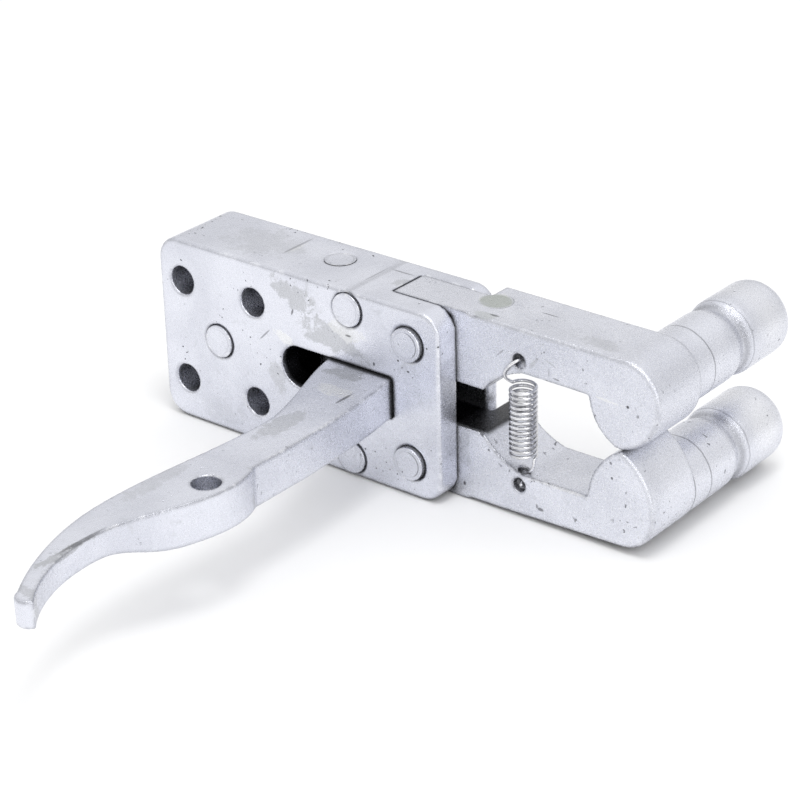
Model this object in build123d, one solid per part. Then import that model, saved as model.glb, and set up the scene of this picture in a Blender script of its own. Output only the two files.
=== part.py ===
from build123d import *
import math
import os

# Trailer coupler lock. Millimetres, +Z up, X towards the jaw tips, Y away from the lever.
# The origin is the centre of the four mounting holes, on the housing's back face.

# Housing: three riveted layers with one outline.
housing_left = -27.0
housing_right = 98.0
housing_height = 69.0
left_corner_radius = 9.0
right_corner_radius = 8.0
front_thickness = 9.5
spacer_thickness = 16.5
back_thickness = 6.3
edge_rounding = 1.2

# Mounting holes and the fasteners that hold the layers together.
mount_spacing_x = 32.9
mount_spacing_z = 38.1
mount_hole_radius = 5.25
rivet_radius = 6.0
rivet_wall = 1.75
rivet_z = 27.6
rivet_stand = 0.5
rivet_sink = 0.2
head_rounding = 0.4

# Jaw pivots.
pivot_x = 85.0
pivot_z = 22.0
jaw_pin_radius = 6.0
jaw_pin_stand = 1.5

# Jaws: a tail between the plates, a thicker arm outside them and a peg at the end.
# Each reach is measured from the jaw's pivot.
eye_radius = 18.0
finger_reach = 26.0
finger_height = 11.0
finger_rounding = 2.5
step_gap = 2.5
arm_back = 2.7
arm_rounding = 1.4
upper_end_radius = 14.3
lower_end_radius = 13.0
peg_drop = 14.7
tip_gap = 0.4
tip_rise = 2.0
tip_reach = 77.8
heel_reach = 65.6
heel_z = 18.2
recess_reach = 40.0
recess_z = 18.6
throat_reach = 23.5

# Pegs, in the middle of the arm's round end.
peg_reach = 78.0
shank_radius = 12.8
waist_radius = 11.5
bulb_radius = 13.5
shank_end = 25.7
waist_y = 31.7
bulb_start = 37.7
peg_end = 60.2
peg_rounding = 5.0

# Return spring and the holes for its hooks.
spring_reach = 38.1
spring_depth = 2.7
coil_radius = 4.3
wire_radius = 0.55
coil_height = 26.0
coil_turns = 14.5
hook_wall = 4.1
hook_face_radius = 2.5
hook_bore_radius = 1.9

# Lever and its pin.
lever_thickness = 14.7
lever_pin_x = 40.5
lever_pin_y = -12.5
lever_pin_radius = 5.0
head_flare = 0.5
head_depth = 1.0
hub_radius = 8.5
lever_hole_x = 77.3
lever_hole_y = -122.7
lever_hole_radius = 4.8
lever_rounding = 0.8
thin_start_y = -138.0
thin_end_y = -166.0
thin_thickness = 9.4
wedge_offset = 8.8
wedge_angle = 19.7

# Slot that the lever swings in.
slot_right = 78.0

# Clearances.
turning_fit = 0.05
side_gap = 0.3
wedge_gap = 0.65
finger_gap = 1.5
swing_gap = 3.0

back_face = -back_thickness
front_inner = back_face - spacer_thickness
front_face = front_inner - front_thickness
half_height = housing_height / 2
half_lever = lever_thickness / 2
slot_half = half_lever + side_gap
jaw_front = front_inner + side_gap
tail_back = back_face - side_gap
jaw_inner = half_lever + wedge_gap
finger_top = jaw_inner + finger_height
finger_tip = pivot_x - finger_reach
rivet_x = pivot_x - eye_radius - rivet_radius - rivet_wall
step_x = housing_right + step_gap
peg_x = pivot_x + peg_reach
peg_z = half_height - peg_drop
spring_x = pivot_x + spring_reach
spring_y = jaw_front + spring_depth
hook_z = recess_z + hook_wall
lever_pin_head = lever_pin_radius + head_flare
slot_left = lever_pin_x - hub_radius - swing_gap
wedge_left = finger_tip - finger_gap - swing_gap
wedge_start = lever_pin_y - wedge_offset


def plate(outline, y_low, y_high):
    """Solid from an outline in the XZ plane, between two depths."""
    return Pos(0, y_high, 0) * extrude(Plane.XZ * outline, amount=y_high - y_low)


def rod_y(x, z, radius, y_low, y_high):
    """Round bar along Y."""
    return plate(Pos(x, z) * Circle(radius), y_low, y_high)


def rod_z(x, y, radius, z_low, z_high):
    """Round bar along Z."""
    return Pos(x, y, z_low) * extrude(Circle(radius), amount=z_high - z_low)


def block(x_low, x_high, y_low, y_high, z_low, z_high):
    """Box between three pairs of limits."""
    corner = Align.MIN
    box = Box(x_high - x_low, y_high - y_low, z_high - z_low, align=(corner, corner, corner))
    return Pos(x_low, y_low, z_low) * box


def housing_outline():
    length = housing_right - housing_left
    outline = Pos(housing_left + length / 2, 0) * Rectangle(length, housing_height)
    outline = fillet(outline.vertices().group_by(Axis.X)[0], left_corner_radius)
    return fillet(outline.vertices().group_by(Axis.X)[-1], right_corner_radius)


def through_holes(with_pivots):
    """Every hole that runs along Y through a housing layer."""
    y_low = front_face - 1
    holes = []
    for x in (-mount_spacing_x / 2, mount_spacing_x / 2):
        for z in (-mount_spacing_z / 2, mount_spacing_z / 2):
            holes.append(rod_y(x, z, mount_hole_radius, y_low, 1))
    centres = [(0, 0, rivet_radius), (rivet_x, rivet_z, rivet_radius), (rivet_x, -rivet_z, rivet_radius)]
    if with_pivots:
        centres += [(pivot_x, pivot_z, jaw_pin_radius), (pivot_x, -pivot_z, jaw_pin_radius)]
    for x, z, radius in centres:
        holes.append(rod_y(x, z, radius + turning_fit, y_low, 1))
    return holes


def front_plate():
    body = plate(housing_outline(), front_face, front_inner)
    rim = body.faces().sort_by(Axis.Y)[0].outer_wire().edges()
    body = fillet(rim, edge_rounding)
    slot = block(slot_left + slot_half, slot_right, front_face - 1, front_inner + 1, -slot_half, slot_half)
    slot += rod_y(slot_left + slot_half, 0, slot_half, front_face - 1, front_inner + 1)
    return body - slot - through_holes(True)


def spacer_block():
    body = plate(housing_outline(), front_inner, back_face)
    y_low, y_high = front_inner - 1, back_face + 1
    pocket_top = finger_top + finger_gap / 2
    body -= block(finger_tip - finger_gap, housing_right + 1, y_low, y_high, -pocket_top, pocket_top)
    body -= block(slot_left, housing_right + 1, y_low, y_high, -slot_half, slot_half)
    for side in (-1, 1):
        z_edge = side * (half_height + 1)
        body -= rod_y(pivot_x, side * pivot_z, eye_radius + side_gap, y_low, y_high)
        body -= block(pivot_x, housing_right + 1, y_low, y_high, min(0, z_edge), max(0, z_edge))
    bore = rod_z(lever_pin_x, lever_pin_y, lever_pin_radius + turning_fit, -half_height, half_height)
    body -= bore
    for side in (-1, 1):
        body -= pin_head(side, turning_fit)
    return body - through_holes(False)


def back_plate():
    body = plate(housing_outline(), back_face, 0)
    rim = body.faces().sort_by(Axis.Y)[-1].outer_wire().edges()
    body = fillet(rim, edge_rounding)
    body -= rod_z(lever_pin_x, lever_pin_y, hub_radius + side_gap, -slot_half, slot_half)
    return body - through_holes(True)


def pin_head(side, extra):
    """Peened end of the lever pin, a short cone that widens towards the outside."""
    cone = Cone(lever_pin_radius + extra, lever_pin_head + extra, head_depth)
    turn = 0 if side > 0 else 180
    centre = side * (half_height - head_depth / 2)
    return Pos(lever_pin_x, lever_pin_y, centre) * Rot(turn, 0, 0) * cone


def lever_pin():
    shaft = rod_z(lever_pin_x, lever_pin_y, lever_pin_radius, -half_height, half_height)
    return shaft + pin_head(1, 0) + pin_head(-1, 0)


def fastener(x, z, radius, stand):
    """Round pin through all three layers, standing out of the front plate."""
    body = rod_y(x, z, radius, front_face - stand, -rivet_sink)
    end = body.faces().sort_by(Axis.Y)[0].edges()
    return fillet(end, head_rounding)


def arm_outline(end_radius, tip_z):
    """Outside part of the upper jaw: straight back, round end and a hooked inner edge."""
    tip = (pivot_x + tip_reach, tip_z)
    crown = (peg_x, peg_z + end_radius)
    nose = (peg_x + end_radius, peg_z)
    throat = (pivot_x + throat_reach, jaw_inner)
    recess = (pivot_x + recess_reach, recess_z)
    heel = (pivot_x + heel_reach, heel_z)
    edges = Line((step_x, jaw_inner), throat)
    edges += ThreePointArc(throat, (throat[0] + 6.5, throat[1] + 6.2), recess)
    edges += Line(recess, heel)
    edges += ThreePointArc(heel, (heel[0] + 3.2, tip_z + 0.43 * (heel_z - tip_z)), tip)
    edges += TangentArc(nose, tip, tangent=(0, -1))
    edges += RadiusArc(crown, nose, end_radius)
    edges += Line(crown, (step_x, half_height))
    edges += Line((step_x, half_height), (step_x, jaw_inner))
    return make_face(edges)


def tail_outline():
    """Part of the upper jaw between the plates: an eye round the pin and a finger behind it."""
    reach = step_x + 2 - pivot_x
    middle = (half_height + jaw_inner) / 2
    band = Pos(pivot_x, middle) * Rectangle(4 * eye_radius, half_height - jaw_inner)
    eye = (Pos(pivot_x, pivot_z) * Circle(eye_radius)) & band
    neck = Pos(pivot_x + reach / 2, middle) * Rectangle(reach, half_height - jaw_inner)
    finger = Rectangle(finger_reach, finger_height)
    finger = fillet(finger.vertices().group_by(Axis.X)[0], finger_rounding)
    finger = Pos(pivot_x - finger_reach / 2, jaw_inner + finger_height / 2) * finger
    return eye + neck + finger


def peg():
    """Round peg that stands back from the jaw's end, with a waist and a rounded bulb."""
    root = arm_back - 8
    profile = Line((0, root), (shank_radius, root))
    profile += Line((shank_radius, root), (shank_radius, shank_end))
    profile += Spline((shank_radius, shank_end), (waist_radius, waist_y), (bulb_radius, bulb_start),
                      tangents=[(0, 1), (0, 1)])
    profile += Line((bulb_radius, bulb_start), (bulb_radius, peg_end - peg_rounding))
    profile += RadiusArc((bulb_radius, peg_end - peg_rounding), (bulb_radius - peg_rounding, peg_end), -peg_rounding)
    profile += Line((bulb_radius - peg_rounding, peg_end), (0, peg_end))
    profile += Line((0, peg_end), (0, root))
    return Pos(peg_x, 0, peg_z) * revolve(make_face(profile), Axis.Y)


def jaw(end_radius, tip_z):
    arm = plate(arm_outline(end_radius, tip_z), jaw_front, arm_back)
    front_rim = arm.faces().sort_by(Axis.Y)[0].outer_wire().edges()
    back_rim = arm.faces().sort_by(Axis.Y)[-1].outer_wire().edges()
    outer = [edge for edge in front_rim + back_rim
             if edge.center().Z > half_height - 2 or edge.center().X > peg_x]
    arm = fillet(outer, arm_rounding)
    body = arm + plate(tail_outline(), jaw_front, tail_back) + peg()
    body -= rod_y(pivot_x, pivot_z, jaw_pin_radius + turning_fit, jaw_front - 1, arm_back + 1)
    body -= rod_y(spring_x, hook_z, hook_face_radius, jaw_front - 1, spring_y)
    body -= rod_z(spring_x, spring_y, hook_bore_radius, recess_z - 4, hook_z)
    return body


def lever_outline():
    """Lever seen from above, with its hub, its wedge and its hooked handle."""
    right = slot_right - side_gap
    back = tail_back
    neck = (50.0, front_face)
    shoulder = (63.9, -76.5)
    grip = (82.4, -106.0)
    tip_right = (86.0, -204.4)
    tip_left = (77.7, -203.2)
    hub_low = (lever_pin_x, lever_pin_y - hub_radius)
    edges = Line((lever_pin_x, back), (right, back))
    edges += Line((right, back), (right, front_face))
    edges += Spline((right, front_face), (81.2, -58.0), (82.4, -78.0), grip)
    edges += Spline(grip, (85.4, -122.0), (80.2, -141.0), (73.2, -162.0), (73.8, -180.0), tip_right)
    edges += ThreePointArc(tip_right, (83.0, -206.8), tip_left)
    edges += Spline(tip_left, (67.6, -184.8), (60.6, -160.0), (60.6, -128.8), shoulder)
    edges += Spline(shoulder, (61.2, -66.5), (57.0, -54.6), neck)
    edges += Line(neck, hub_low)
    edges += Line(hub_low, (lever_pin_x, back))
    return make_face(edges)


def thinned_end():
    """Space under the handle's end, where the lever is thinner."""
    low = -half_lever
    high = half_lever - thin_thickness
    profile = Spline((thin_start_y, low), (thin_end_y, high), tangents=[(-1, 0), (-1, 0)])
    profile += Polyline((thin_end_y, high), (thin_end_y - 60, high), (thin_end_y - 60, low - 5),
                        (thin_start_y, low - 5), (thin_start_y, low))
    return extrude(Plane.YZ * make_face(profile), amount=120, dir=(1, 0, 0))


def lever():
    outline = lever_outline() + Pos(lever_pin_x, lever_pin_y) * Circle(hub_radius)
    body = Pos(0, 0, -half_lever) * extrude(outline, amount=lever_thickness)
    body -= thinned_end()
    flat = [face for face in body.faces() if abs(face.normal_at().Z) > 0.9]
    rims = [edge for face in flat for edge in face.edges() if edge.center().Y < front_face - 1]
    rims = [edge for edge in rims if edge.geom_type != GeomType.LINE]
    body = fillet(rims, lever_rounding)
    depth = 20.0
    drop = depth * math.tan(math.radians(wedge_angle))
    for side in (-1, 1):
        top = side * half_lever
        taper = Polygon((wedge_start, top), (wedge_start + depth, top - side * drop),
                        (wedge_start + depth, 2 * top), (wedge_start, 2 * top), align=None)
        body -= Pos(wedge_left, 0, 0) * extrude(Plane.YZ * taper, amount=40, dir=(1, 0, 0))
    body -= rod_z(lever_pin_x, lever_pin_y, lever_pin_radius + turning_fit, -half_lever - 1, half_lever + 1)
    body -= rod_z(lever_hole_x, lever_hole_y, lever_hole_radius, -half_lever - 1, half_lever + 1)
    return body


def wire(path):
    """Round wire along a path."""
    start = path @ 0
    section = Plane(origin=start, z_dir=path % 0) * Circle(wire_radius)
    return sweep(section, path=path)


def return_spring():
    half_coil = coil_height / 2
    helix = Helix(pitch=coil_height / coil_turns, height=coil_height, radius=coil_radius)
    body = Pos(spring_x, spring_y, -half_coil) * wire(helix)
    bend = hook_z - 1.2
    for sign in (-1, 1):
        side = spring_x - sign * coil_radius
        rise = Spline((side, spring_y, sign * half_coil), (spring_x - sign, spring_y, sign * (half_coil + 2.5)),
                      (spring_x, spring_y, sign * (half_coil + 5)), (spring_x, spring_y, sign * bend))
        turn = Spline((spring_x, spring_y, sign * bend), (spring_x, spring_y - 0.9, sign * (hook_z + 0.1)),
                      (spring_x, jaw_front - 0.4, sign * (hook_z + 0.3)))
        body += wire(rise)
        body += wire(turn)
        for point in (rise @ 0, rise @ 1):
            body += Pos(*point) * Sphere(wire_radius)
    return body


parts = {
    "front_plate": front_plate(),
    "spacer_block": spacer_block(),
    "back_plate": back_plate(),
    "upper_jaw": jaw(upper_end_radius, tip_rise + tip_gap / 2),
    "lower_jaw": mirror(jaw(lower_end_radius, tip_gap / 2 - tip_rise), Plane.XY),
    "lever": lever(),
    "lever_pin": lever_pin(),
    "upper_jaw_pin": fastener(pivot_x, pivot_z, jaw_pin_radius, jaw_pin_stand),
    "lower_jaw_pin": fastener(pivot_x, -pivot_z, jaw_pin_radius, jaw_pin_stand),
    "left_rivet": fastener(0, 0, rivet_radius, rivet_stand),
    "upper_rivet": fastener(rivet_x, rivet_z, rivet_radius, rivet_stand),
    "lower_rivet": fastener(rivet_x, -rivet_z, rivet_radius, rivet_stand),
    "return_spring": return_spring(),
}

os.makedirs("parts", exist_ok=True)
for name, shape in parts.items():
    export_step(shape, "parts/" + name + ".step")
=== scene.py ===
import math

import bpy
from mathutils import Matrix, Vector


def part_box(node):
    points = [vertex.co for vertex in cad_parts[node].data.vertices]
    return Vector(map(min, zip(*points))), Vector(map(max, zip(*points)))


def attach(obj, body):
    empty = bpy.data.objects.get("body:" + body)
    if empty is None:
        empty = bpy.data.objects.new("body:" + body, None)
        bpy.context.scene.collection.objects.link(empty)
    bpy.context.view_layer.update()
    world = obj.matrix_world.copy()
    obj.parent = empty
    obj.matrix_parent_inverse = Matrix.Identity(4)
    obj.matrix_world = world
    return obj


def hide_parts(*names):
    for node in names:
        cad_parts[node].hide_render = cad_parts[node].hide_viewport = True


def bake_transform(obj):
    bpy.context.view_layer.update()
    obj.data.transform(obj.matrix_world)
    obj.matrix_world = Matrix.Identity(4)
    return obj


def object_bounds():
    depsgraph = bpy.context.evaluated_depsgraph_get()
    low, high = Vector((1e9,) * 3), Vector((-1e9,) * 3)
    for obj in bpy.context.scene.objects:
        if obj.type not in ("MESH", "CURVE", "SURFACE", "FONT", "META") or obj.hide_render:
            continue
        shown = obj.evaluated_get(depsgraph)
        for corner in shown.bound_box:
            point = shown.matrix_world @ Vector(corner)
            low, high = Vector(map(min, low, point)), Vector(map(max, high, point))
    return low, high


# Trailer coupler lock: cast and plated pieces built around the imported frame, in metres.
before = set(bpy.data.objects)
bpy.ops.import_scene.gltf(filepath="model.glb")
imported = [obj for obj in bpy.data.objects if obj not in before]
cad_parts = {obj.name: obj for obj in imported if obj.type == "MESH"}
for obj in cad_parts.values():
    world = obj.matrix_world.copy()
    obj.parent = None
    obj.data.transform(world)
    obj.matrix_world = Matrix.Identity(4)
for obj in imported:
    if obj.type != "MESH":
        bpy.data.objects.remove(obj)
cadBox = [list(corner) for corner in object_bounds()]
mm = 0.001


def deselectAll():
    if bpy.context.object and bpy.context.object.mode != "OBJECT":
        bpy.ops.object.mode_set(mode="OBJECT")
    bpy.ops.object.select_all(action="DESELECT")


def pick(piece):
    deselectAll()
    piece.select_set(True)
    bpy.context.view_layer.objects.active = piece


def settle(piece):
    # the finished piece sits at the origin, with its place in its mesh
    pick(piece)
    bpy.ops.object.transform_apply(location=True, rotation=True, scale=True)


def addModifier(piece, name, kind, settings):
    modifier = piece.modifiers.new(name, kind)
    for key, value in settings.items():
        setattr(modifier, key, value)


def applyModifiers(piece):
    pick(piece)
    for modifier in list(piece.modifiers):
        bpy.ops.object.modifier_apply(modifier=modifier.name)


def copyOfNodes(name, nodes):
    # one merged copy of the CAD shapes, ready to be worked on
    copies = []
    for node in nodes:
        copy = bpy.data.objects.new(node + "Copy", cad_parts[node].data.copy())
        bpy.context.scene.collection.objects.link(copy)
        copies.append(copy)
    deselectAll()
    for copy in copies:
        copy.select_set(True)
    bpy.context.view_layer.objects.active = copies[0]
    if len(copies) > 1:
        bpy.ops.object.join()
    piece = bpy.context.object
    piece.name = name
    piece.data.name = name
    pick(piece)
    bpy.ops.object.mode_set(mode="EDIT")
    bpy.ops.mesh.select_all(action="SELECT")
    bpy.ops.mesh.remove_doubles(threshold=0.002 * mm)
    bpy.ops.object.mode_set(mode="OBJECT")
    return piece


def castSkin(piece, look):
    # gives a sharp shape the soft edges and slightly uneven faces of a casting
    addModifier(piece, "skin", "REMESH", {"mode": "VOXEL", "voxel_size": look["grain"],
                                          "use_smooth_shade": True})
    addModifier(piece, "soften", "SMOOTH", {"factor": 0.5, "iterations": look["softening"]})
    waves = bpy.data.textures.new(piece.name + "Waves", "CLOUDS")
    waves.noise_scale = look["waveSize"]
    waves.noise_depth = 2
    addModifier(piece, "waves", "DISPLACE", {"texture": waves, "texture_coords": "LOCAL",
                                             "strength": look["waveHeight"], "mid_level": 0.5})
    addModifier(piece, "thin", "DECIMATE", {"decimate_type": "COLLAPSE", "ratio": look["keepFaces"]})
    applyModifiers(piece)
    bpy.ops.object.shade_smooth_by_angle(angle=math.radians(50))
    return piece


class Field:
    # a node socket that can stand in a Python expression
    def __init__(self, finish, socket):
        self.finish = finish
        self.socket = socket

    def math(self, operation, first, second=None):
        values = {0: first}
        if second is not None:
            values[1] = second
        return self.finish.node("ShaderNodeMath", {"operation": operation}, values)

    def __add__(self, other):
        return self.math("ADD", self, other)

    __radd__ = __add__

    def __sub__(self, other):
        return self.math("SUBTRACT", self, other)

    def __rsub__(self, other):
        return self.math("SUBTRACT", other, self)

    def __mul__(self, other):
        return self.math("MULTIPLY", self, other)

    __rmul__ = __mul__

    def above(self, start, full):
        # 0 below start, rising to 1 at full
        return self.finish.node("ShaderNodeMapRange", {"clamp": True, "interpolation_type": "SMOOTHSTEP"},
                                {"Value": self, "From Min": start, "From Max": full})

    def near(self, level, width):
        # 1 at the level, falling to 0 at a width on either side of it
        return 1 - self.math("ABSOLUTE", self - level).above(0.0, width)


class Finish:
    # builds one node material
    def __init__(self, name):
        self.material = bpy.data.materials.new(name)
        self.material.use_nodes = True
        self.tree = self.material.node_tree
        self.tree.nodes.clear()
        self.place = self.node("ShaderNodeTexCoord", {}, {}, "Object")

    def node(self, kind, settings, values, output=0):
        made = self.tree.nodes.new(kind)
        for key, value in settings.items():
            setattr(made, key, value)
        for key, value in values.items():
            if isinstance(value, Field):
                self.tree.links.new(value.socket, made.inputs[key])
            else:
                made.inputs[key].default_value = value
        return Field(self, made.outputs[output]) if made.outputs else made

    def local(self, centre=(0, 0, 0), turn=(0, 0, 0), size=(1, 1, 1)):
        # place measured from a centre, along turned axes, in units of the size
        return self.node("ShaderNodeMapping", {"vector_type": "TEXTURE"},
                         {"Vector": self.place, "Location": centre, "Rotation": turn, "Scale": size})

    def length(self, vector):
        return self.node("ShaderNodeVectorMath", {"operation": "LENGTH"}, {0: vector}, "Value")

    def dot(self, first, second):
        return self.node("ShaderNodeVectorMath", {"operation": "DOT_PRODUCT"}, {0: first, 1: second}, "Value")

    def noise(self, scale, detail, rough, vector=None, warp=0.0):
        return self.node("ShaderNodeTexNoise", {}, {"Vector": vector or self.place, "Scale": scale,
                                                    "Detail": detail, "Roughness": rough, "Distortion": warp})

    def mix(self, amount, first, second):
        return self.node("ShaderNodeMix", {"data_type": "RGBA"}, {"Factor": amount, 6: first, 7: second}, 2)

    def spot(self, centre, size, turn, softness):
        # 1 inside a soft ellipsoid, 0 outside; it can be turned about Y
        reach = self.length(self.local(centre, (0, turn, 0), size))
        return 1 - reach.above(1 - softness, 1 + softness)

    def ring(self, centre, radius, width, flat, shadowDirection):
        # a thin dark circle, a gap line with painted shadow that is darkest towards the shadow direction;
        # flat is 0 for the axis that it runs round
        away = self.node("ShaderNodeVectorMath", {"operation": "SUBTRACT"}, {0: self.place, 1: centre})
        away = self.node("ShaderNodeVectorMath", {"operation": "MULTIPLY"}, {0: away, 1: flat})
        shadowWeight = 0.25 + self.dot(away, shadowDirection).above(0.0, 0.8 * radius)
        return self.length(away).near(radius, width) * shadowWeight

    def inside(self, low, high):
        # 1 inside a box with faintly soft sides, 0 outside
        parts = self.tree.nodes.new("ShaderNodeSeparateXYZ")
        self.tree.links.new(self.place.socket, parts.inputs["Vector"])
        mask = 1.0
        for axis in range(3):
            along = Field(self, parts.outputs[axis])
            mask = along.above(low[axis], low[axis] + 2 * mm) * mask
            mask = (1 - along.above(high[axis] - 2 * mm, high[axis])) * mask
        return mask

    def shadowed(self, distance, start, full):
        # 1 in places that little light reaches, 0 in the open
        openSky = self.node("ShaderNodeAmbientOcclusion", {"samples": 6}, {"Distance": distance}, "AO")
        return 1 - openSky.above(start, full)

    def close(self, values, normal):
        made = {"Normal": normal}
        made.update(values)
        shader = self.node("ShaderNodeBsdfPrincipled", {}, made)
        self.node("ShaderNodeOutputMaterial", {}, {"Surface": shader})
        return self.material


metalLook = {
    "bright": (0.76, 0.775, 0.85),
    "middle": (0.655, 0.67, 0.745),
    "dull": (0.47, 0.48, 0.50),
    "dark": (0.035, 0.035, 0.04),
    "chalk": (0.86, 0.865, 0.87),
    "green": (0.43, 0.46, 0.43),
    "wearAndHighlight": (0.95, 0.955, 0.98),
    "edge": (0.24, 0.245, 0.27),
    "cavityShadow": (0.012, 0.012, 0.013),
    "cornerShade": 0.75,
    "roughness": 0.27,
    "metallic": 0.9,
}


def platedMetal(name, look, marks, rings, shadowBoxes=(), bands=()):
    # bright plating on a casting: faint clouds, chosen marks, pits, scratches and polished edges, with
    # painted shade in corners, hollows, unlit insides, thin rings and along rounded edges
    finish = Finish(name)
    shade = {}
    for key in ("bright", "middle", "dull", "dark", "chalk", "green", "wearAndHighlight", "edge"):
        shade[key] = tuple(channel * look["tint"] for channel in metalLook[key]) + (1.0,)
    clouds = finish.noise(30, 4, 0.55, warp=0.4)
    patches = finish.noise(170, 6, 0.68, warp=0.5)
    speckle = finish.noise(1700, 3, 0.65)
    frost = finish.noise(4200, 2, 0.7)
    colour = finish.mix(clouds.above(0.36, 0.64), shade["middle"], shade["bright"])
    colour = finish.mix(patches.above(0.60, 0.70) * look["blotch"], colour, shade["dull"])
    colour = finish.mix(speckle.above(0.53, 0.66) * look["speckle"], colour, shade["dull"])
    colour = finish.mix(frost.above(0.52, 0.64) * look["frost"], colour, shade["wearAndHighlight"])
    ragged = patches + 0.25 * speckle
    for kind, centre, size, turn, strength in marks:
        # dull and chalky marks get a ragged edge, the others a plain one
        if kind in ("dull", "chalk"):
            spot = finish.spot(centre, size, math.radians(turn), 0.85)
            spot = (spot * 0.5 + ragged).above(0.93, 1.03) * (0.55 + 0.6 * speckle)
        else:
            spot = finish.spot(centre, size, math.radians(turn), 0.12 if kind == "green" else 0.35)
            spot = spot * (0.5 + patches)
        colour = finish.mix(spot * strength, colour, shade[kind])
    cluster = finish.noise(75, 2, 0.5).above(0.50, 0.62)
    pits = finish.noise(650, 1, 0.4).above(0.705, 0.735) * cluster
    stretched = finish.local(turn=(0.2, 0.35, 0.6), size=(20 * mm, 0.6 * mm, 0.6 * mm))
    streaks = finish.noise(1.0, 2.0, 0.5, stretched).above(0.60, 0.70)
    softNormal = finish.node("ShaderNodeBevel", {"samples": 4}, {"Radius": 1.6 * mm})
    trueNormal = finish.node("ShaderNodeNewGeometry", {}, {}, "Normal")
    # an edge is where the face's own direction leaves the one of its surroundings
    facing = finish.dot(softNormal, trueNormal)
    curve = (1 - facing).above(0.003, 0.03)
    chips = finish.noise(330, 4, 0.7)
    edge = curve * chips.above(0.53, 0.60)
    # painted shade: rounded edges darkened as a dark line, then bright chips of wear laid on them
    colour = finish.mix(curve * look["edgeShade"] * (1.3 - chips), colour, shade["edge"])
    colour = finish.mix(edge * look["edges"], colour, shade["wearAndHighlight"])
    colour = finish.mix(streaks * look["scratches"], colour, shade["dull"])
    colour = finish.mix(pits * look["pits"], colour, shade["dark"])
    # painted shadow: dark crescents round the fasteners, over a thin gap line
    circles = 0.0
    for centre, radius, width, flat, shadowDirection, strength in rings:
        circles = finish.ring(centre, radius, width, flat, shadowDirection) * strength + circles
    if rings:
        colour = finish.mix(circles, colour, shade["dark"])
    for centre, reach, width, strength in bands:
        # dark, slightly wavy lines that run round a peg
        depth = finish.dot(finish.local(centre), (0, 1, 0))
        band = (depth + (patches - 0.5) * 1.2 * mm).near(0.0, width)
        band = band * finish.length(finish.local(centre, size=(reach, reach, reach))).above(1.15, 1.0)
        colour = finish.mix(band * strength, colour, shade["edge"])
    # painted shade: corners and deep hollows are darkened where little light reaches
    corners = finish.shadowed(3.5 * mm, 0.30, 0.78) * (0.55 + 0.5 * patches)
    hollows = finish.shadowed(16 * mm, 0.08, 0.30) * 0.7
    colour = finish.mix(corners * metalLook["cornerShade"], colour, shade["dark"])
    colour = finish.mix(hollows, colour, shade["dark"])
    for low, high in shadowBoxes:
        # painted shadow: near-black colour laid over the unlit insides
        colour = finish.mix(finish.inside(low, high) * look["cavityShadow"], colour, metalLook["cavityShadow"] + (1.0,))
    rough = metalLook["roughness"] + 0.3 * (patches - 0.5) + 0.3 * (speckle - 0.5) - 0.1 * edge + 0.3 * pits
    height = finish.noise(300, 4, 0.6) * 0.6 + speckle * look["grain"] + frost * (0.6 * look["grain"])
    height = height - pits * 1.1 - streaks * (0.25 * look["scratches"]) - circles * 0.8
    bump = finish.node("ShaderNodeBump", {}, {"Strength": 0.5, "Distance": 0.35 * mm, "Height": height})
    metallic = metalLook["metallic"] - 0.5 * corners
    return finish.close({"Base Color": colour, "Roughness": rough, "Metallic": metallic}, bump)


def springWire(look):
    # drawn wire: fine lines along the wire, darker between the turns
    finish = Finish("springWire")
    drawn = finish.noise(1.0, 3, 0.5, finish.local(size=(1.1 * mm, 1.1 * mm, 0.2 * mm)))
    cloud = finish.noise(160, 3, 0.5)
    colour = finish.mix(cloud.above(0.35, 0.65), look["dullWire"], look["brightWire"])
    colour = finish.mix(finish.shadowed(1.6 * mm, 0.15, 0.75) * 0.85, colour, look["gapShade"])
    rough = 0.16 + 0.2 * drawn
    bump = finish.node("ShaderNodeBump", {}, {"Strength": 0.25, "Distance": 0.05 * mm, "Height": drawn})
    return finish.close({"Base Color": colour, "Roughness": rough, "Metallic": 0.97}, bump)


def dress(piece, material):
    piece.data.materials.clear()
    piece.data.materials.append(material)


def finishPiece(piece, body, material, nodes):
    dress(piece, material)
    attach(piece, body)
    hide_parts(*nodes)


nodeBox = {name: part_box(name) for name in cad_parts}
plateFace = nodeBox["front_plate"][0][1]
armFace = nodeBox["upper_jaw"][0][1]
topFace = nodeBox["front_plate"][1][2]
leverTop = nodeBox["lever"][1][2]
# which axes count for a circle that runs round Y, and for one round Z
aroundY = (1, 0, 1)
aroundZ = (1, 1, 0)
# side on which each painted ring shadow is darkest
toRight = (1, 0, 0.25)


def axisOf(node):
    # middle of a round part's box, which lies on its axis
    low, high = nodeBox[node]
    return tuple((first + second) / 2 for first, second in zip(low, high))
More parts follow.
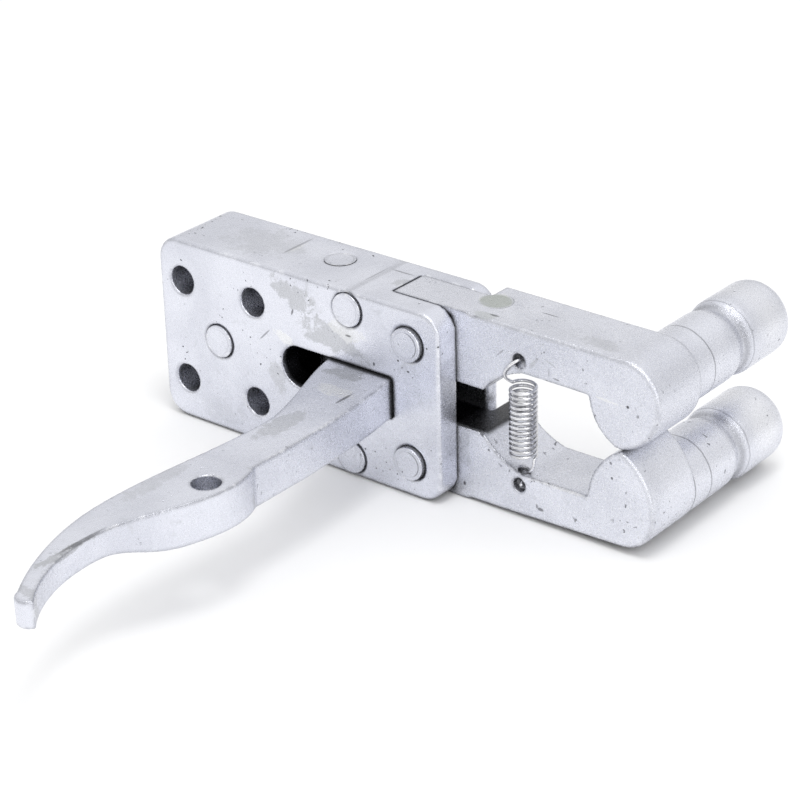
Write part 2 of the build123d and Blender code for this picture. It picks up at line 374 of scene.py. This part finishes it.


# Housing: the three riveted layers under one cast skin, with a groove drawn round each fastener as a dark
# ring whose right side is painted shadow.
housing = {
    "grain": 0.6 * mm, "softening": 3, "waveSize": 0.028, "waveHeight": 0.14 * mm, "keepFaces": 0.42,
    "finish": {"tint": 1.02, "blotch": 0.3, "speckle": 0.14, "frost": 0.3, "edges": 0.6, "edgeShade": 0.6,
               "scratches": 0.12, "pits": 0.9, "grain": 0.42, "cavityShadow": 0.97},
    # painted shadow inside the lever slot
    "shadowBoxes": [((0.026, -0.0316, -0.019), (0.0985, -0.005, 0.019))],
    "seats": {"left_rivet": 0.6, "upper_rivet": 0.7, "lower_rivet": 0.6, "upper_jaw_pin": 1.0,
              "lower_jaw_pin": 1.0},
    "marks": [
        ("dull", (0.034, plateFace, 0.0275), (0.0105, 0.01, 0.0055), 25, 0.75),
        ("dull", (0.053, plateFace, 0.0155), (0.0175, 0.01, 0.0058), 8, 0.75),
        ("dull", (0.0265, plateFace, -0.0065), (0.005, 0.01, 0.007), -20, 0.55),
        ("dull", (0.086, plateFace, 0.007), (0.007, 0.01, 0.008), 0, 0.25),
        ("dull", (0.0, plateFace, -0.027), (0.012, 0.01, 0.006), 0, 0.2),
        ("chalk", (0.031, plateFace, 0.0095), (0.0055, 0.01, 0.003), 20, 0.8),
        ("chalk", (0.060, plateFace, 0.0195), (0.009, 0.01, 0.004), 10, 0.6),
        ("dark", (0.0218, plateFace, 0.0085), (0.0003, 0.002, 0.0032), 45, 0.55),
        ("dark", (0.035, plateFace, 0.0205), (0.0004, 0.002, 0.0012), 20, 0.7),
        ("dark", (0.0596, plateFace, 0.0182), (0.0012, 0.002, 0.0004), 0, 0.6),
        ("dark", (0.0705, plateFace, 0.0108), (0.0004, 0.002, 0.0007), 0, 0.8),
        ("dark", (0.0851, plateFace, 0.012), (0.0005, 0.002, 0.0003), 0, 0.9),
        ("dark", (0.021, -0.0125, topFace), (0.0006, 0.0078, 0.0008), 0, 0.45),
        ("chalk", (0.0222, -0.0125, topFace), (0.0007, 0.0078, 0.0008), 0, 0.6),
        ("dark", (0.0652, -0.009, topFace), (0.0045, 0.0004, 0.0008), 0, 0.55),
        ("dark", (0.0587, -0.0155, topFace), (0.0003, 0.0062, 0.0008), 0, 0.35),
        ("dull", (0.071, -0.016, topFace), (0.006, 0.004, 0.002), 0, 0.6),
        ("dull", (0.010, -0.016, topFace), (0.02, 0.012, 0.002), 0, 0.35),
    ],
}
layers = ["front_plate", "spacer_block", "back_plate"]
grooveShadowRings = [(axisOf(node), 6.5 * mm, 0.8 * mm, aroundY, toRight, strength)
           for node, strength in housing["seats"].items()]
grooveShadowRings.append((axisOf("lever_pin"), 5.6 * mm, 0.3 * mm, aroundZ, toRight, 0.15))
housingCasting = castSkin(copyOfNodes("housingCasting", layers), housing)
housingFinish = platedMetal("platedHousing", housing["finish"], housing["marks"], grooveShadowRings,
                            housing["shadowBoxes"])
finishPiece(housingCasting, "housing", housingFinish, layers)
print("stage: housing", len(housingCasting.data.polygons))

# Jaws: two castings, nearly mirrored, each with marks of its own and turning lines round its peg.
jaws = {
    "grain": 0.52 * mm, "softening": 2, "waveSize": 0.022, "waveHeight": 0.14 * mm, "keepFaces": 0.42,
    "finish": {"tint": 1.0, "blotch": 0.2, "speckle": 0.34, "frost": 0.75, "edges": 0.35, "edgeShade": 0.85,
               "scratches": 0.1, "pits": 0.6, "grain": 0.75, "cavityShadow": 0.95},
    # painted shadow over the jaw tails inside the housing and the throat between the jaws
    "shadowBoxes": [((0.05, -0.030, -0.0335), (0.0975, 0.0, 0.0335)),
                 ((0.05, -0.0222, -0.0098), (0.111, 0.004, 0.0098))],
    # painted shadow: a ring darkest on its right round the round mark on the upper jaw's top
    "rings": [((0.1047, -0.0097, topFace), 5.9 * mm, 0.35 * mm, aroundZ, toRight, 0.35)],
    "pegX": 0.163, "pegZ": 0.0198, "pegReach": 16 * mm,
    "pegLines": [(2.7, 0.5, 1.0), (12.5, 0.55, 0.8), (33.0, 2.2, 0.55), (35.6, 0.5, 0.5)],
    "upperMarks": [
        ("chalk", (0.1047, -0.0097, topFace), (0.0072, 0.0065, 0.003), 0, 0.7),
        ("green", (0.1047, -0.0097, topFace), (0.0056, 0.0052, 0.003), 0, 0.85),
        ("green", (0.1082, -0.0205, topFace), (0.0042, 0.0020, 0.002), 0, 0.4),
        # painted highlight: a bright patch over the upper middle of the peg's bulb
        ("wearAndHighlight", (0.163, 0.048, 0.0235), (0.016, 0.011, 0.011), 0, 0.45),
        # painted shade: the dark spot fills the hook hole where the spring wire enters
        ("dark", (0.1231, -0.0198, 0.0227), (0.0026, 0.0022, 0.0026), 0, 1.0),
        ("dark", (0.1057, -0.0226, topFace), (0.0016, 0.0006, 0.001), 0, 0.6),
        ("dark", (0.1110, -0.0190, topFace), (0.0018, 0.0006, 0.001), 0, 0.6),
        ("dark", (0.1157, armFace, 0.0237), (0.0003, 0.002, 0.0021), 45, 0.35),
        ("dull", (0.1290, armFace, 0.0235), (0.0009, 0.002, 0.0042), 40, 0.55),
        ("dull", (0.1362, armFace, 0.0251), (0.0032, 0.002, 0.0003), 23, 0.6),
        ("dark", (0.1351, armFace, 0.0219), (0.0003, 0.002, 0.0017), 0, 0.25),
        ("dark", (0.1380, armFace, 0.0203), (0.0013, 0.002, 0.0003), 5, 0.5),
        ("chalk", (0.1580, armFace, 0.0185), (0.0080, 0.002, 0.0005), 3, 0.9),
        ("dark", (0.1655, armFace, 0.0185), (0.0005, 0.002, 0.0005), 0, 0.8),
        ("dark", (0.1255, -0.008, topFace), (0.0035, 0.0003, 0.001), 0, 0.6),
        ("dull", (0.150, -0.016, topFace), (0.012, 0.004, 0.002), 0, 0.4),
    ],
    "lowerMarks": [
        # painted highlight: a bright patch over the upper middle of the peg's bulb
        ("wearAndHighlight", (0.163, 0.048, -0.0155), (0.016, 0.011, 0.011), 0, 0.6),
        # painted shade: dark spots in and just above the hook hole where the spring wire enters
        ("dark", (0.1231, -0.0198, -0.0227), (0.0026, 0.0022, 0.0026), 0, 1.0),
        ("dark", (0.1231, -0.0198, -0.0186), (0.0021, 0.0021, 0.0012), 0, 1.0),
        ("wearAndHighlight", (0.1400, -0.0222, -0.0187), (0.011, 0.0006, 0.0006), 0, 0.8),
        ("dark", (0.1600, armFace, -0.0085), (0.0004, 0.002, 0.0005), 0, 0.8),
        ("dark", (0.1320, armFace, -0.0290), (0.0012, 0.002, 0.0006), 0, 0.7),
        ("dark", (0.1305, armFace, -0.0282), (0.0004, 0.002, 0.0008), 0, 0.6),
        ("dark", (0.1005, armFace, -0.0290), (0.0005, 0.002, 0.0007), 0, 0.8),
        ("dull", (0.1450, armFace, -0.0330), (0.006, 0.002, 0.0012), 0, 0.4),
        ("dull", (0.1010, armFace, -0.0150), (0.0025, 0.002, 0.010), 0, 0.5),
    ],
}
for side, node, pieceName in ((1, "upper_jaw", "upperJawCasting"), (-1, "lower_jaw", "lowerJawCasting")):
    casting = castSkin(copyOfNodes(pieceName, [node]), jaws)
    marks = jaws["upperMarks"] if side > 0 else jaws["lowerMarks"]
    bands = []
    for depth, width, strength in jaws["pegLines"]:
        centre = (jaws["pegX"], depth * mm, side * jaws["pegZ"])
        bands.append((centre, jaws["pegReach"], width * mm, strength))
    rings = jaws["rings"] if side > 0 else []
    jawFinish = platedMetal(pieceName + "Finish", jaws["finish"], marks, rings, jaws["shadowBoxes"], bands)
    finishPiece(casting, node, jawFinish, [node])
    print("stage:", pieceName, len(casting.data.polygons))

# Lever: smooth plating, a dark line of painted shade with bright chips along its upper edge and dull bands
# near its end.
lever = {
    "grain": 0.48 * mm, "softening": 2, "waveSize": 0.02, "waveHeight": 0.16 * mm, "keepFaces": 0.42,
    "finish": {"tint": 0.98, "blotch": 0.25, "speckle": 0.13, "frost": 0.3, "edges": 0.4, "edgeShade": 0.75,
               "scratches": 0.15, "pits": 0.35, "grain": 0.4, "cavityShadow": 0.8},
    # painted shadow over the part of the lever inside the slot
    "shadowBoxes": [((0.02, -0.0345, -0.03), (0.09, 0.0, 0.03))],
    "marks": [
        ("dull", (0.062, -0.038, leverTop), (0.010, 0.006, 0.004), 0, 0.8),
        ("chalk", (0.068, -0.050, leverTop), (0.009, 0.004, 0.003), 0, 0.9),
        ("dark", (0.0745, -0.053, leverTop), (0.0006, 0.004, 0.001), 0, 0.7),
        ("dull", (0.070, -0.080, leverTop), (0.005, 0.014, 0.004), 0, 0.6),
        ("dull", (0.064, -0.130, leverTop), (0.004, 0.020, 0.004), 0, 0.35),
        ("dull", (0.080, -0.202, 0.0), (0.02, 0.003, 0.02), 0, 0.55),
        ("dull", (0.073, -0.180, leverTop), (0.0022, 0.014, 0.002), 0, 0.8),
        ("dark", (0.0722, -0.172, leverTop), (0.0007, 0.009, 0.0008), 0, 0.6),
        ("dull", (0.082, -0.108, 0.0), (0.004, 0.0008, 0.02), 0, 0.5),
    ],
}
leverCasting = castSkin(copyOfNodes("leverCasting", ["lever"]), lever)
leverFinish = platedMetal("platedLever", lever["finish"], lever["marks"], [], lever["shadowBoxes"])
finishPiece(leverCasting, "lever", leverFinish, ["lever"])
print("stage: lever", len(leverCasting.data.polygons))

# Pins and rivets keep their CAD shapes, and each has a faint dark ring of painted shade on its end, darkest
# on its right.
fastenerLook = {"tint": 1.0, "blotch": 0.3, "speckle": 0.22, "frost": 0.3, "edges": 0.7, "edgeShade": 0.3,
                "scratches": 0.1, "pits": 0.7, "grain": 0.5}
for node in ("lever_pin", "upper_jaw_pin", "lower_jaw_pin", "left_rivet", "upper_rivet", "lower_rivet"):
    flat = aroundZ if node == "lever_pin" else aroundY
    endRingShade = [(axisOf(node), 4.6 * mm, 0.4 * mm, flat, toRight, 0.5 if "jaw" in node else 0.15)]
    dress(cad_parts[node], platedMetal(node + "Finish", fastenerLook, [], endRingShade))

# Return spring: two halves of one wound wire, each ending in the hook of its own jaw.
spring = {
    "wire": 0.56 * mm, "coil": 4.3 * mm, "height": 26 * mm, "turns": 14.5, "stepsPerTurn": 28,
    "dullWire": (0.62, 0.62, 0.64, 1), "brightWire": (0.86, 0.86, 0.88, 1), "gapShade": (0.03, 0.03, 0.03, 1),
}


def wireArc(name, radius, degrees, rise, steps):
    # a round wire wound about Z through the origin, starting on +X
    deselectAll()
    bpy.ops.mesh.primitive_circle_add(vertices=12, radius=spring["wire"], location=(0, 0, 0),
                                      rotation=(math.radians(90), 0, 0))
    piece = bpy.context.object
    piece.name = name
    settle(piece)
    bpy.ops.object.mode_set(mode="EDIT")
    bpy.ops.mesh.select_all(action="SELECT")
    bpy.ops.transform.translate(value=(radius, 0, 0))
    bpy.ops.object.mode_set(mode="OBJECT")
    addModifier(piece, "wind", "SCREW", {"angle": math.radians(degrees), "screw_offset": rise,
                                         "iterations": 1, "steps": steps, "render_steps": steps,
                                         "use_normal_calculate": True})
    applyModifiers(piece)
    return piece


def placed(piece, turn, location):
    pick(piece)
    piece.rotation_euler = [math.radians(angle) for angle in turn]
    piece.location = location
    settle(piece)
    return piece


def ball(location):
    # rounds a wire's end, or the joint between two wires
    deselectAll()
    bpy.ops.mesh.primitive_uv_sphere_add(segments=12, ring_count=8, radius=spring["wire"], location=location)
    settle(bpy.context.object)
    return bpy.context.object


def wireThrough(name, start, middle, end):
    # a round wire along the arc through three points, given in millimetres
    first, second, third = (Vector(point) * mm for point in (start, middle, end))
    toSecond = second - first
    toThird = third - first
    normal = toSecond.cross(toThird)
    centre = first + (normal.cross(toSecond) * toThird.length_squared
                      + toThird.cross(normal) * toSecond.length_squared) / (2 * normal.length_squared)
    outward = (first - centre).normalized()
    normal.normalize()
    side = normal.cross(outward)
    away = third - centre
    sweep = math.degrees(math.atan2(away.dot(side), away.dot(outward))) % 360
    arc = wireArc(name, away.length, sweep, 0, 24)
    arc.rotation_euler = Matrix((outward, side, normal)).transposed().to_euler()
    arc.location = centre
    settle(arc)
    return arc


# where each hook's two bends start, pass and end, in millimetres
hookPoints = {
    "upper_jaw": [[(118.8, -19.8, 13.0), (117.5, -22.6, 16.4), (119.4, -23.3, 19.8)],
                  [(119.4, -23.3, 19.8), (120.9, -23.1, 21.4), (122.6, -20.6, 22.6)]],
    "lower_jaw": [[(127.4, -19.8, -13.0), (127.0, -19.8, -15.9), (124.9, -19.8, -18.6)],
                  [(124.9, -19.8, -18.6), (124.1, -20.6, -20.4), (124.4, -23.0, -21.9)]],
}
axisX, axisY = axisOf("return_spring")[:2]
halfTurns = spring["turns"] / 2
halfCoil = spring["height"] / 2
springFinish = springWire(spring)
for side, jawNode, halfName in ((1, "upper_jaw", "upperSpringHalf"), (-1, "lower_jaw", "lowerSpringHalf")):
    coil = wireArc(jawNode + "Coil", spring["coil"], 360 * halfTurns, halfCoil,
                   int(halfTurns * spring["stepsPerTurn"]))
    wires = [placed(coil, (0, 0, 90 if side > 0 else 0), (axisX, axisY, 0 if side > 0 else -halfCoil))]
    for number, points in enumerate(hookPoints[jawNode]):
        wires.append(wireThrough(jawNode + "Hook" + str(number), *points))
    wires += [ball(Vector(points[end]) * mm) for points in hookPoints[jawNode] for end in (0, 2)]
    deselectAll()
    for part in wires:
        part.select_set(True)
    bpy.context.view_layer.objects.active = wires[0]
    bpy.ops.object.join()
    half = bpy.context.object
    half.name = halfName
    pick(half)
    bpy.ops.object.mode_set(mode="EDIT")
    bpy.ops.mesh.select_all(action="SELECT")
    bpy.ops.mesh.fill_holes(sides=12)
    bpy.ops.mesh.select_all(action="SELECT")
    bpy.ops.mesh.normals_make_consistent(inside=False)
    bpy.ops.object.mode_set(mode="OBJECT")
    bpy.ops.object.shade_smooth()
    dress(half, springFinish)
    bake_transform(half)
    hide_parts("return_spring")
print("stage: fasteners and spring")

# Floor, light and camera.
studio = {
    "floorColour": (0.95, 0.95, 0.95, 1.0), "floorShade": (0.93, 0.93, 0.93, 1.0),
    "floorSize": 12, "floorGap": 0.2 * mm,
    "lampAim": (0.08, -0.04, 0.0),
    "worldStrength": 1.05,
    "focal": 112.5,
    "distance": 0.8333,
    "target": (0.08134, -0.0323, 0.00055),
    "azimuth": 39.23,
    "elevation": 26.32,
    "roll": -1.48,
}
deselectAll()
floorLevel = cadBox[0][2] - studio["floorGap"]
bpy.ops.mesh.primitive_plane_add(size=studio["floorSize"], location=(0, 0, floorLevel))
floor = bpy.context.object
floor.name = "studioFloor"
floorFinish = Finish("paleFloor")
floorCloud = floorFinish.noise(3, 2, 0.5)
floorColour = floorFinish.mix(floorCloud, studio["floorShade"], studio["floorColour"])
floorBump = floorFinish.node("ShaderNodeBump", {}, {"Strength": 0.02, "Distance": mm, "Height": floorCloud})
dress(floor, floorFinish.close({"Base Color": floorColour, "Roughness": 0.8}, floorBump))


def softLight(name, place, size, power):
    deselectAll()
    bpy.ops.object.light_add(type="AREA", location=place)
    lamp = bpy.context.object
    lamp.name = name
    lamp.data.shape = "DISK"
    lamp.data.size = size
    lamp.data.energy = power
    lamp.rotation_mode = "QUATERNION"
    lamp.rotation_quaternion = (Vector(studio["lampAim"]) - Vector(place)).to_track_quat("-Z", "Y")


softLight("keyLight", (0.35, -0.2, 1.3), 0.5, 4.0)
softLight("fillLight", (1.2, -0.6, 0.5), 0.6, 2.5)

# The sky is pale above and a little darker just over the horizon.
world = bpy.data.worlds.new("studioWorld")
bpy.context.scene.world = world
world.use_nodes = True
sky = world.node_tree
skyPlace = sky.nodes.new("ShaderNodeTexCoord")
skyParts = sky.nodes.new("ShaderNodeSeparateXYZ")
skyRamp = sky.nodes.new("ShaderNodeValToRGB")
skyRise = sky.nodes.new("ShaderNodeMapRange")
sky.links.new(skyPlace.outputs["Generated"], skyParts.inputs["Vector"])
sky.links.new(skyParts.outputs["Z"], skyRise.inputs["Value"])
skyRise.inputs["From Min"].default_value = -1
sky.links.new(skyRise.outputs["Result"], skyRamp.inputs["Fac"])
stops = skyRamp.color_ramp.elements
stops[0].position = 0.48
stops[0].color = (1, 1, 1, 1)
for position, level in ((0.58, 0.62), (0.80, 0.95)):
    stops.new(position).color = (level, level, level, 1)
sky.links.new(skyRamp.outputs["Color"], sky.nodes["Background"].inputs["Color"])
sky.nodes["Background"].inputs["Strength"].default_value = studio["worldStrength"]

turn, rise, roll = (math.radians(studio[key]) for key in ("azimuth", "elevation", "roll"))
back = Vector((math.sin(turn) * math.cos(rise), -math.cos(turn) * math.cos(rise), math.sin(rise)))
right = Vector((math.cos(turn), math.sin(turn), 0))
up = back.cross(right)
rightTurned = right * math.cos(roll) + up * math.sin(roll)
upTurned = up * math.cos(roll) - right * math.sin(roll)
bpy.ops.object.camera_add(location=Vector(studio["target"]) + back * studio["distance"])
camera = bpy.context.object
camera.name = "studioCamera"
camera.rotation_mode = "QUATERNION"
camera.rotation_quaternion = Matrix((rightTurned, upTurned, back)).transposed().to_quaternion()
camera.data.sensor_width = 36
camera.data.lens = studio["focal"]
camera.data.clip_start = 0.01
camera.data.clip_end = 50
bpy.context.scene.camera = camera
bpy.context.scene.view_settings.view_transform = "Standard"
print("stage: studio")
